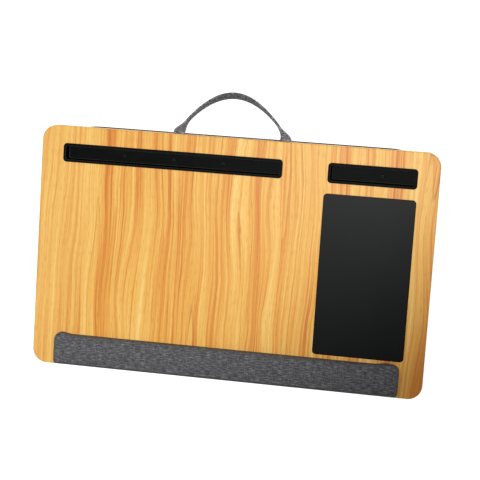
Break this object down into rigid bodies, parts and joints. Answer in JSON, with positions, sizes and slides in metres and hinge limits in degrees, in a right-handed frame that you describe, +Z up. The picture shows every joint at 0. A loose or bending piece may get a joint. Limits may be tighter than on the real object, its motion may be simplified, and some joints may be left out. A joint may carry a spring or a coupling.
{
  "type": "lap desk",
  "caption": "Cushioned lap desk: wood-grain board with recessed tablet and phone trays, mouse pad, padded wrist rest and a fabric carry handle on its rear edge.",
  "frame": {"origin": "on the surface that the cushion rests on, under the centre of the board, in the valley between the cushion's two lobes", "axes": "+X to the user's right along the board's long side, +Y away from the user towards the handle, +Z up"},
  "size_m": [0.55, 0.4002, 0.08],
  "materials": {
    "wood_grain": "satin wood-grain laminate",
    "panel_board": "raw hardboard",
    "tray_plastic": "moulded satin",
    "mouse_pad": "fine-grained satin sheet",
    "linen": "woven dark grey linen look",
    "handle_fabric": "woven grey fabric",
    "base_mesh": "knitted black mesh",
    "foam": "soft fill",
    "tape": "double-sided foam tape",
    "strip_plastic": "plain strip",
    "black_screw": "black oxide",
    "zinc_screw": "zinc plated"
  },
  "bodies": {
    "desk": {"board": "wood_grain", "base_panel": "panel_board", "tablet_tray": "tray_plastic", "phone_tray": "tray_plastic", "mouse_pad": "mouse_pad", "wrist_rest_cover": "linen", "wrist_rest_tape": "tape", "wrist_rest_strip": "strip_plastic", "wrist_rest_foam": "foam", "cushion_band": "linen", "left_base_cover": "base_mesh", "right_base_cover": "base_mesh", "cushion_divider": "base_mesh", "left_fill": "foam", "right_fill": "foam", "left_handle_tail": "handle_fabric", "right_handle_tail": "handle_fabric", "tablet_tray_screws": "black_screw", "phone_tray_screw": "black_screw", "front_panel_screws": "zinc_screw", "pad_panel_screws": "zinc_screw", "handle_tail_screws": "zinc_screw", "handle_tail_washers": "zinc_screw"},
    "handle": {"handle_strap": "handle_fabric"}
  },
  "joints": [
    {"name": "handle_fold", "type": "hinge", "parent": "desk", "child": "handle", "pos_m": [-0.0117, 0.1708, 0.0515], "axis": [1, 0, 0], "range_deg": [-55, 60]}
  ]
}
